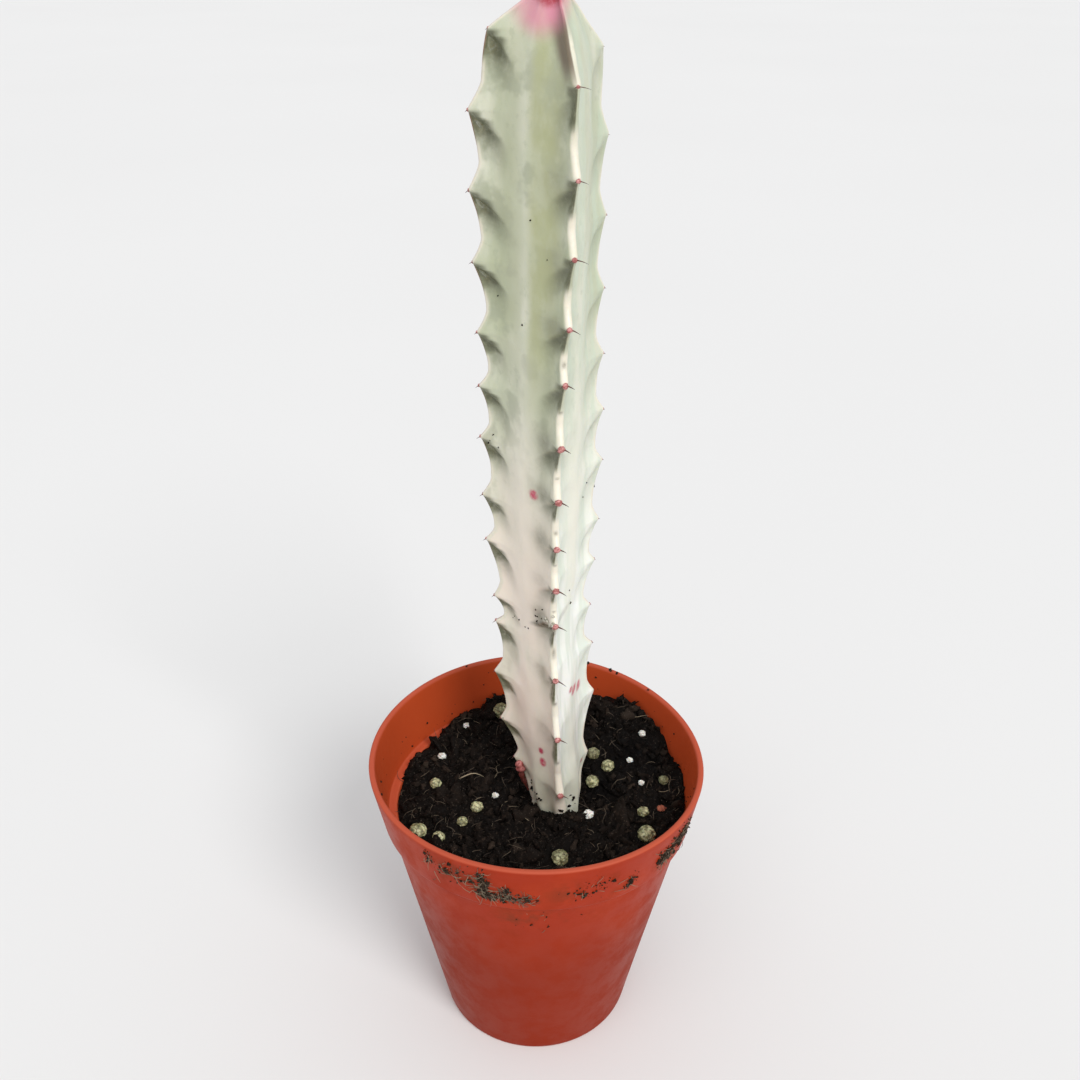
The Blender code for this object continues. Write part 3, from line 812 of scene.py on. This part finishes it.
def stem_surface():
    """The stem's points, row by row from below the soil to the apex, and numbers for each."""
    height = np.linspace(-STEM_BURIED, STEM_ABOVE_SOIL, STEM_RINGS)
    row = height[1] - height[0]
    share = np.clip(height / STEM_ABOVE_SOIL, 0, 1)
    crown = np.clip((share - 0.984) / 0.016, 0, 1)
    radius = STEM_RADIUS * along(STEM_OUTLINE, share) * np.sqrt(1 - 0.97 * crown**2)
    taper = np.minimum(1, radius / (0.5 * STEM_RADIUS))
    centre = np.stack([*stem_centre(share), SOIL_LEVEL + height], -1)[:, None]
    rounder = 1 - smooth_step(share / 0.11)
    creased = taper * (0.5 + 0.5 * ramp(share, 0.2, 0.14)) * ramp(share, 0.05, 0.1)
    steps = np.linspace(0, 1, HALF_RIB_POINTS)
    columns, fields = [], {}
    for index, rib in enumerate(RIB_TEETH):
        tips = tooth_heights(rib)
        rise = blurred(tooth_rise(height, tips)[:, None], 0.2 * MM / row)[:, 0]
        cut = TOOTH_HEIGHT * (1 - rise) * taper * smooth_step(share / 0.06)
        level = phase_below(height, tips)
        bulge = ramp(level, 0.28, 0.2) * (1 - 0.5 * ramp(level, 0.62, 0.3))
        thick = RIB_HALF_THICKNESS * taper * (0.48 + 0.22 * bulge + 0.8 * rounder)
        inner = radius * (FACE_HOLLOW * (1.6 - 0.6 * taper) + 0.3 * rounder)
        out, aside = half_rib(radius - cut, inner, thick, steps)
        run_out = np.diff(out, axis=1, prepend=out[:, :1])
        run_aside = np.diff(aside, axis=1, prepend=aside[:, :1])
        edge = np.cumsum(np.hypot(run_out, run_aside), axis=1)
        crease = blurred(creases(height, edge, tips) * creased[:, None], 0.32 * MM / row)
        slope_out, slope_aside = np.gradient(out, axis=1), np.gradient(aside, axis=1)
        size = np.hypot(slope_out, slope_aside) + 1e-9
        outward = rib_azimuths(share)[:, None] + 2 * math.pi * index / 3
        picks = slice(None, 0, -1), slice(0, -1)
        for side, pick, depth in zip((-1, 1), picks, CREASE_SHARES[rib]):
            dent = crease * depth * CREASE_DEPTH
            dent_out = (out + dent * slope_aside / size)[:, pick]
            dent_aside = side * (aside - dent * slope_out / size)[:, pick]
            x = dent_out * np.cos(outward) - dent_aside * np.sin(outward)
            y = dent_out * np.sin(outward) + dent_aside * np.cos(outward)
            columns.append(centre + np.stack([x, y, 0 * x], -1))
            parts = {
                "edge": edge[:, pick],
                "band": (edge / (1.57 * thick[:, None]))[:, pick],
                "phase": level[:, None],
                "crease": dent[:, pick] / CREASE_DEPTH,
                "face": steps[pick],
                "front": float(rib == "front"),
            }
            for face, sides in SEEN_FACES.items():
                parts[face] = float((rib, side) in sides)
            for name, values in parts.items():
                fields.setdefault(name, []).append(np.broadcast_to(values, x.shape))
    points = np.concatenate(columns, axis=1)
    fields = {name: np.concatenate(parts, axis=1) for name, parts in fields.items()}
    fields["knob_hollow_and_shade"] = knob_hollows(points) * fields["left"]
    flat = points.reshape(-1, 3)
    sway = roughen(flat, 7 * MM) * 0.16 * MM + roughen(flat, 2.2 * MM, 4.0) * 0.05 * MM
    sway = sway.reshape(points.shape[:2]) - fields["knob_hollow_and_shade"] * KNOB_HOLLOW[-1]
    return points + unit(points - centre) * sway[..., None], fields


def knob_hollows(points):
    """Soft ovals, seen from the front, left of the front rib's knobs: how far the skin sinks there,
    and how dark its painted shade is.
    """
    left, up, half_width, half_height, _ = KNOB_HOLLOW
    hollows = np.zeros(points.shape[:2])
    for shade, tip in zip(KNOB_SHADES, tooth_heights("front")):
        share = np.array(tip / STEM_ABOVE_SOIL)
        middle, _ = stem_centre(share)
        reach = STEM_RADIUS * along(STEM_OUTLINE, share) * np.cos(rib_azimuths(share))
        size = 0.9 + 0.5 * noise.noise(Vector((0.5, 0.5, float(tip) * 700)))
        across = (points[..., 0] - middle - reach + left) / (half_width * size)
        above = (points[..., 2] - SOIL_LEVEL - tip - up) / (half_height * size)
        hollows = np.maximum(hollows, shade * np.exp(-(across**2) - above**2))
    return hollows


def on_stem(points, fields, face, x, z):
    """The stem's surface point on this face that is seen from the front at x and z."""
    away = (points[..., 0] - x) ** 2 + (points[..., 2] - z) ** 2
    away = np.where(fields[face] > 0.5, away, 1)
    return points[np.unravel_index(np.argmin(away), away.shape)]


def spot(points, x, z, half_width, half_height):
    """A soft oval, seen from the front, of 1 at its middle and 0 outside it."""
    away = np.hypot((points[..., 0] - x) / half_width, (points[..., 2] - z) / half_height)
    return 1 - ramp(away, 0.55, 0.55)


def scarred(points, fields):
    """Where the pink scars are."""
    scars = [spot(points, *(size * MM for size in oval)) * fields[side] for side, *oval in SCARS]
    return np.max(scars, axis=0)


def cork_and_shadow_marks(points, fields):
    """Where the skin is corky or shaded: the dark joint across the front rib, with painted shadow
    under its overhang, and a dot between its teeth.
    """
    crack_x, crack_z, half_width, half_height = (size * MM for size in JOINT_CRACK)
    leaning = points - np.array((0, 0, 0.5)) * (points[..., :1] - crack_x)
    crack = spot(leaning, crack_x, crack_z, half_width, half_height)
    crack = crack * (fields["left"] + 0.3 * fields["right"])
    z = points[..., 2]
    off_level = (fields["phase"] - 0.62 - 0.14 * np.sin(z / (1.9 * MM))) / 0.03
    dots = 0.8 * np.exp(-(off_level**2) - (fields["edge"] / (0.28 * MM)) ** 2)
    return np.maximum(crack, dots * fields["front"] * (z < APEX - 40 * MM))


def make_stem(points, fields):
    """The fine stem with its teeth, hollows, margins and scars, and painted shade in its hollows
    and under its teeth.
    """
    edge, phase, face = (fields[name] for name in ("edge", "phase", "face"))
    front, left, right = (fields[name] for name in ("front", "left", "right"))
    z = points[..., 2]
    on_edge = 1 - ramp(fields["band"], 0.7 - 0.3 * front, 0.6)
    # Painted shade under each tooth beside the rib's edge, and in lobes below the teeth on the left
    # face.
    under_tooth = smooth_step(phase / 0.04) * (1 - ramp(phase, 0.28 + 0.1 * front, 0.2))
    beside = 1 - ramp(edge, (1.3 - 0.2 * front) * MM, 1.5 * MM)
    pit_shade = under_tooth * beside * (0.2 + 0.7 * left + 0.1 * front * left)
    lobe_start = 0.02 + 0.02 * edge / MM
    lobe_shade = ramp(phase, lobe_start, 0.05) * (1 - ramp(phase, lobe_start + 0.2, 0.16))
    lobe_shade = lobe_shade * (1 - ramp(edge, 2.4 * MM, 1.8 * MM)) * left * (1 - front)
    grown = ramp(z, SOIL_LEVEL + 4 * MM, 5 * MM)
    near_top = ramp(z, APEX - 12 * MM, 4 * MM) * front
    blush = spot(points, 0.6 * MM, APEX - 1.5 * MM, 4.2 * MM, 5.0 * MM)
    tip = spot(points, 1.8 * MM, APEX - 1.0 * MM, 2.2 * MM, 2.2 * MM)
    masks = {
        "knob_hollow_and_shade": fields["knob_hollow_and_shade"],
        "hollow_shade": np.clip(np.maximum(-1.6 * fields["crease"], np.maximum(pit_shade, lobe_shade) * grown), 0, 1),
        "margin": on_edge * (1 - 0.9 * under_tooth * grown) * (1 - 0.5 * near_top),
        "line": (1 - ramp(edge, 0.1 * MM, 0.3 * MM)) * (1 - 0.95 * front),
        "vein_and_sheen": ramp(face, 0.5, 0.5),
        "left_face": left * (1 - on_edge),
        "right_face": right,
        "olive": ramp(face, 0.25, 0.3) * (1 - ramp(face, 0.8, 0.2)) * left * (0.3 + 0.7 * front),
        "blush": np.maximum(blush, ramp(z, APEX - 3.5 * MM, 3 * MM)),
        "tip": np.maximum(tip, ramp(z, APEX - 1.2 * MM, 1 * MM)),
        "top_rib_shade": near_top * left * (1 - ramp(edge, 1.8 * MM, 1.7 * MM)),
        "scar": scarred(points, fields),
        "cork": cork_and_shadow_marks(points, fields),
        "splash": (1 - ramp(z, SOIL_LEVEL, 6 * MM)) * (1 - 0.5 * right),
    }
    shape = points, closed_grid(*z.shape)
    add_piece("visual_stem", shape, masks, stem_look(), "stem", "stem")


def make_spines():
    """A pink shield with a pair of dark thorns at each tooth."""
    pile = Pile()
    up = np.array((0, 0, 1))
    for index, rib in enumerate(RIB_TEETH):
        for number, tip in enumerate(tooth_heights(rib)):
            share = np.array([tip / STEM_ABOVE_SOIL])
            turn = rib_azimuths(share)[0] + 2 * math.pi * index / 3
            out, across = heading_at(turn), heading_at(turn + math.pi / 2)
            reach = STEM_RADIUS * along(STEM_OUTLINE, share)[0] - 0.12 * MM
            x, y = (part[0] for part in stem_centre(share))
            seat = np.array((x, y, SOIL_LEVEL + tip - 0.1 * MM)) + out * reach
            size = min(1, 0.5 + 0.1 * number) if rib == "front" else 0.5
            shield = np.array((0.36, 0.52, 0.50)) * size * MM
            crumb(pile, seat, shield, 1.0, 0.18, SMALL_BALL, np.stack([out, across, up], -1))
            for side, share_of_length in ((-1, SHORT_SPINE), (1, 1)):
                length = SPINE_LENGTHS[rib] * random.uniform(0.65, 1.1) * share_of_length
                lean = unit(out * 0.5 + across * side * 0.85 - up * random.uniform(0.05, 0.3))
                t = np.linspace(0, 1, 6)[:, None]
                foot = seat + across * side * 0.3 * size * MM
                path = foot + (lean * t - up * 0.15 * t * t) * length
                radii = 0.13 * MM * size * (1 - t[:, 0] ** 1.3 * 0.94)
                tube(pile, path, radii, 0.45 * (1 - t[:, 0]), 6)
    pile.piece("visual_spines", spine_look(), "stem")


def make_splashes(points, fields, soil):
    """Soil splashed on the stem."""
    pile = Pile()
    for face, x, z, size, count in SPLASHES:
        for _ in range(count):
            stray = random.normal(size=2) * 0.9 * MM * (count > 1)
            place = on_stem(points, fields, face, x * MM + stray[0], z * MM + stray[1])
            half_size = size * MM * random.uniform(0.5, 1.1) * np.array((0.8, 0.6, 1.1))
            crumb(pile, place, half_size, random.uniform(0, 0.25), 0.4)
    pile.piece("visual_splashes", soil, "soil")


def make_cork(points, fields):
    """Pale grains of cork on the joint across the front rib."""
    pile = Pile()
    joint_x, joint_z, *_ = JOINT_CRACK
    for _ in range(CORK_GRAINS):
        stray = random.normal(size=2) * np.array((0.9, 0.55))
        x, z = (joint_x + 0.5 + stray[0]) * MM, (joint_z + 1.3 + stray[1]) * MM
        half_size = random.uniform(0.12, 0.34, 3) * MM
        place = on_stem(points, fields, "left", x, z)
        crumb(pile, place, half_size, random.uniform(0, 1), 0.5, SMALL_BALL)
    pile.piece("visual_cork", bark_look("cork", "8E8A76", "E4DFD0"), "stem")


def make_flap(points, fields):
    """The dried strip of skin at the stem's left foot."""
    pile = Pile()
    top, low = (on_stem(points, fields, "left", *end) for end in FLAP)
    t = np.linspace(0, 1, 40)
    widths = along(FLAP_WIDTHS, t) * (1 + 0.25 * np.sin(t * 31) * (1 - t)) * MM
    path = top + (low - top) * t[:, None] + np.array((-0.25, -0.25, 0)) * MM
    path[:, 0] += np.sin(t * 9) * 0.15 * MM
    tube(pile, path, widths, smooth_step(1.15 - t * 2.6), 20)
    pile.piece("visual_flap", flap_look(), "bark")


# --- Soil ---


def soil_top(x, y):
    """Height of the soil's top surface, without its crumbs."""
    ahead_x, ahead_y = polar(1 / SOIL_EDGE, SOIL_TILT_AZIMUTH)
    slope = x * ahead_x + y * ahead_y
    height = SOIL_LEVEL + SOIL_TILT * slope + SOIL_BOWL * slope * slope
    clods = [(*polar(share * SOIL_EDGE, azimuth), rise, spread, spread)
             for share, azimuth, rise, spread in SOIL_CLODS]
    for middle_x, middle_y, rise, spread_x, spread_y in (*clods, *SOIL_MOUNDS):
        away = ((x - middle_x) / spread_x) ** 2 + ((y - middle_y) / spread_y) ** 2
        height = height + rise * np.exp(-away / 2)
    return height


def item_room(x, y):
    """How far each place is outside the nearest bit in the soil."""
    room = np.full(np.shape(x), 1.0)
    for low, high in item_boxes:
        middle, half = (low + high) / 2, (high - low) / 2
        away = np.hypot(x - middle.x, y - middle.y) - max(half.x, half.y)
        room = np.minimum(room, away)
    return room


def soil_height(x, y):
    """Height of the lumpy soil surface, calm beside the bits that lie in it."""
    flat = np.stack([np.ravel(x), np.ravel(y), np.zeros(np.size(x))], -1)
    relief = 0.9 * MM * roughen(flat, 4.5 * MM) + 0.85 * MM * roughen(flat, 1.9 * MM, 3.0)
    relief = (relief + 0.4 * MM * roughen(flat, 0.8 * MM, 8.0)).reshape(np.shape(x))
    calm = 0.25 + 0.75 * ramp(item_room(x, y), -0.5 * MM, 1.5 * MM)
    return soil_top(x, y) + relief * calm


def soil_reach(angles):
    """The soil's radius round its edge: the collar's wall where it covers the ledge."""
    body_wall = body_radius(LEDGE_HEIGHT) - BODY_WALL + 0.2 * MM
    collar_wall = body_radius(LEDGE_HEIGHT) + COLLAR_STEP - COLLAR_WALL + 0.35 * MM
    level = soil_top(body_wall * np.cos(angles), body_wall * np.sin(angles))
    ragged = roughen(np.stack([np.cos(angles), np.sin(angles), 0 * angles], -1) * 6 * MM, 1.6 * MM)
    covered = ramp(level + 0.5 * MM * ragged, LEDGE_HEIGHT + 0.2 * MM, 0.5 * MM)
    return body_wall + (collar_wall - body_wall) * covered


def make_soil(look):
    """The soil as a lumpy body that meets the pot's wall and floor."""
    rings, spokes, wall_rings = 120, 330, 10
    share = np.sqrt(np.linspace(0.0002, 1, rings))[:, None]
    angles = np.linspace(0, 2 * math.pi, spokes, endpoint=False)
    reach = share * soil_reach(angles)
    x, y = reach * np.cos(angles), reach * np.sin(angles)
    top = np.stack([x, y, soil_height(x, y)], -1)
    sides = np.linspace(LEDGE_HEIGHT - 3.5 * MM, FLOOR_TOP + 0.1 * MM, wall_rings)[:, None]
    wall = body_radius(sides) - BODY_WALL - 0.1 * MM
    below = [wall * np.cos(angles), wall * np.sin(angles), sides + 0 * angles]
    rows = np.concatenate([top, np.stack(below, -1)])
    masks = {"shade": np.full(rows.shape[:2], 0.08), "dark_patch": dark_patch_share(rows)}
    shape = rows, closed_grid(*rows.shape[:2])
    add_piece("visual_soil", shape, masks, look, "soil", "soil")


def soil_place(clear):
    """A random place on the soil, clear of its bits and of the stem by this much."""
    while True:
        angle = random.uniform(0, 2 * math.pi)
        reach = soil_reach(np.array([angle]))[0] * math.sqrt(random.uniform(0, 1))
        x, y = reach * math.cos(angle), reach * math.sin(angle)
        off_stem = math.hypot(x - STEM_MIDDLE[0][1], y + FOOT_FORWARD) > 4.4 * MM
        if off_stem and item_room(x, y) > clear * 0.8:
            return x, y


def surface_point(x, y, lift):
    """The point this far above the lumpy soil."""
    return np.array((x, y, soil_height(np.array([x]), np.array([y]))[0] + lift))


def lay_crumb(pile, x, y, size, lift, clump):
    """Lays one crumb on the soil, raised by this share of its size."""
    half_size = size * random.uniform((0.6, 0.6, 0.3), (1.5, 1.5, 0.9))
    shape = CLUMP_BALL if clump else SMALL_BALL
    shade = random.uniform(0, 1) ** 4 * (0.25 if clump else 1)
    crumb(pile, surface_point(x, y, size * lift), half_size, shade, 0.62, shape)


def make_crumbs(look):
    """Loose crumbs, clumps and flakes of peat over the soil."""
    pile = Pile()
    for number in range(CRUMBS):
        clump = number % 15 == 0
        size = (0.22 + 0.65 * random.uniform(0, 1) ** 2 + 0.9 * clump) * MM
        x, y = soil_place(size * (1 + 0.8 * clump))
        edge = soil_reach(np.array([math.atan2(y, x)]))[0] - size * (1.2 + 0.7 * clump)
        x, y = np.array((x, y)) * min(1, edge / math.hypot(x, y))
        lay_crumb(pile, x, y, size, random.uniform(-0.2, 0.4) - 0.3 * clump, clump)
    for _ in range(FOOT_CRUMBS):
        angle = random.uniform(0, 2 * math.pi)
        reach = STEM_RADIUS * STEM_OUTLINE[0][1] * random.uniform(0.75, 1.45)
        x = STEM_MIDDLE[0][1] + reach * math.cos(angle)
        y = reach * math.sin(angle) - FOOT_FORWARD
        lay_crumb(pile, x, y, random.uniform(0.15, 0.4) * MM, random.uniform(0, 0.8), False)
    pile.piece("visual_crumbs", look, "soil")


def make_soil_fibres(look):
    """Peat fibres on the soil, most of them dark and a few of straw."""
    pile = Pile()
    for number in range(SOIL_FIBRES):
        x, y = soil_place(0)
        shade = random.uniform(0, 0.35) if number % 12 else random.uniform(0.5, 1)
        length = random.uniform(0.9, 3.2) * MM
        heading = (*random.normal(size=2), random.uniform(-0.2, 0.4))
        lay_fibre(pile, x, y, length, 0.04 * MM, shade, heading)
    lay_fibre(pile, *STRAW, 1, (1, 0.35, 0))
    pile.piece("visual_soil_fibres", look, "soil")


def lay_fibre(pile, x, y, length, radius, shade, heading):
    """Lays one fibre on the soil."""
    start = surface_point(x, y, 0.45 * MM)
    fibre(pile, start, unit(np.array(heading)), np.array((0, 0, 1.0)), length, radius, shade)


# --- Dirt on the pot ---


def on_collar(azimuth, z, inside=False):
    """A point on the collar's wall and the way out from it; angles are in degrees."""
    angle = math.radians(azimuth)
    out = heading_at(angle)
    radius = body_radius(z) + float(rim_swell(angle) * smooth_step(z / POT_HEIGHT))
    radius += COLLAR_STEP * (z > LEDGE_HEIGHT) - COLLAR_WALL * inside
    return out * radius + np.array((0, 0, z)), -out if inside else out


def make_pot_dirt(soil, fibres):
    """Specks and fibres of soil stuck to the collar, its inside and the rim."""
    specks, strands = Pile(), Pile()
    for azimuth, height, spread, rise, speck_count, fibre_count in COLLAR_DIRT:
        for number in range(2 * speck_count + fibre_count):
            turn = azimuth + random.normal() * spread * 0.8
            z = min(height + random.normal() * rise * 0.55, 52.6) * MM
            place, out = on_collar(turn, z)
            if number < 2 * speck_count:
                size = (0.04 + 0.17 * random.uniform(0, 1) ** 3) * MM
                half_size = size * random.uniform((0.4, 0.4, 0.4), (1.9, 1.9, 1.9))
                shade = random.uniform(0, 0.9)
                crumb(specks, place + out * size * 0.2, half_size, shade, 0.6, SMALL_BALL)
                continue
            across = np.array((-out[1], out[0], 0))
            heading = across * random.normal() + np.array((0, 0, 1)) * random.normal() * 0.9
            shade = random.uniform(0.05, 0.75)
            length = random.uniform(0.6, 2.3) * MM
            start = place + out * 0.06 * MM
            fibre(strands, start, unit(heading), out, length, 0.042 * MM, shade)
    for _ in range(INNER_SPECKS):
        z = (44.5 + 8.2 * random.uniform(0, 1) ** 2) * MM
        place, out = on_collar(random.uniform(0, 360), z, inside=True)
        size = (0.06 + 0.16 * random.uniform(0, 1) ** 2) * MM
        crumb(specks, place + out * size * 0.3, size * np.ones(3), random.uniform(0, 0.6), 0.5)
    for azimuth, size in RIM_CRUMBS:
        place, out = on_collar(azimuth, POT_HEIGHT)
        half_size = size * MM * np.array((1, 1, 0.6))
        crumb(specks, place - out * 0.7 * MM, half_size, 0.2, 0.4, SMALL_BALL)
    specks.piece("visual_pot_specks", soil, "soil")
    strands.piece("visual_pot_fibres", fibres, "soil")


# --- Bits in the soil ---


def make_items(prefix, look, slot, relief, relief_size):
    """Rounded, lumpy pieces that fill the boxes of the CAD nodes with this prefix."""
    for node in (name for name in item_nodes if name.startswith(prefix)):
        low, high = (np.array(corner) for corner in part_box(node))
        points, faces = STONE_BALL
        offset = random.uniform(0, 50, 3)
        wave = [noise.fractal(Vector(p / relief_size + offset), 1, 2, 3) for p in points]
        points = points * (1 + relief * np.array(wave)[:, None])
        points = (low + high) / 2 + points / np.abs(points).max(axis=0) * (high - low) / 2
        add_piece(f"visual_{node}", (points, faces), {}, look, slot, node)


# --- Stage ---


def make_floor():
    """A pale, seamless floor."""
    bpy.ops.mesh.primitive_circle_add(vertices=96, radius=8, fill_type="NGON", location=(0, 0, 0))
    floor = bpy.context.object
    floor.name = "floor"
    look = Look("floor_paint", {"Roughness": 0.9, "Specular IOR Level": 0.2})
    look.colour("E6E5E3", "E2E1DF", look.noise(0.3, 2))
    floor.data.materials.append(look.material)


def make_lights():
    """A broad soft key from the upper right front, in a bright room."""
    for name, (azimuth, elevation, spread, strength) in LIGHTS.items():
        data = bpy.data.lights.new(name, "SUN")
        data.energy = strength
        data.angle = math.radians(spread)
        light = new_object(name, data)
        aim = Vector((*polar(1, azimuth), math.tan(math.radians(elevation))))
        light.rotation_euler = aim.to_track_quat("Z", "Y").to_euler()
    world = bpy.data.worlds.new("room")
    world.use_nodes = True
    background = world.node_tree.nodes["Background"]
    background.inputs["Color"].default_value = rgb("F4F6FA")
    background.inputs["Strength"].default_value = ROOM_LIGHT
    bpy.context.scene.world = world
    bpy.context.scene.view_settings.view_transform = "Standard"


def make_camera():
    """The camera, which looks down on the pot from the front."""
    data = bpy.data.cameras.new("camera")
    data.sensor_width = 36
    data.angle = math.radians(CAMERA_VIEW)
    data.clip_start = 5 * MM
    camera = new_object("camera", data)
    low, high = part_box("pot")
    rim_middle = Vector(((low.x + high.x) / 2, (low.y + high.y) / 2, high.z))
    camera.location = rim_middle + Vector(CAMERA_OFFSET)
    camera.rotation_euler = (math.radians(90 - CAMERA_TILT), 0, 0)
    bpy.context.scene.camera = camera


make_camera()
make_lights()
make_floor()
make_pot()
skin, skin_fields = stem_surface()
make_stem(skin, skin_fields)
make_spines()
peat = soil_look("soil_peat", "060403", "241B15")
crumbs = soil_look("peat_crumbs", "100B08", "3A2E26")
strands = fibre_look()
make_splashes(skin, skin_fields, peat)
make_cork(skin, skin_fields)
make_flap(skin, skin_fields)
make_soil(peat)
make_crumbs(crumbs)
make_soil_fibres(strands)
make_pot_dirt(soil_look("dried_soil", "2B1F15", "6A5236"), strands)
make_items("prill_", prill_look(), "prill", 0.16, 0.45)
make_items("perlite_", perlite_look(), "perlite", 0.35, 0.5)
make_items("bark_", bark_look("bark_chip", "6E3322", "B4654A"), "bark", 0.35, 0.6)
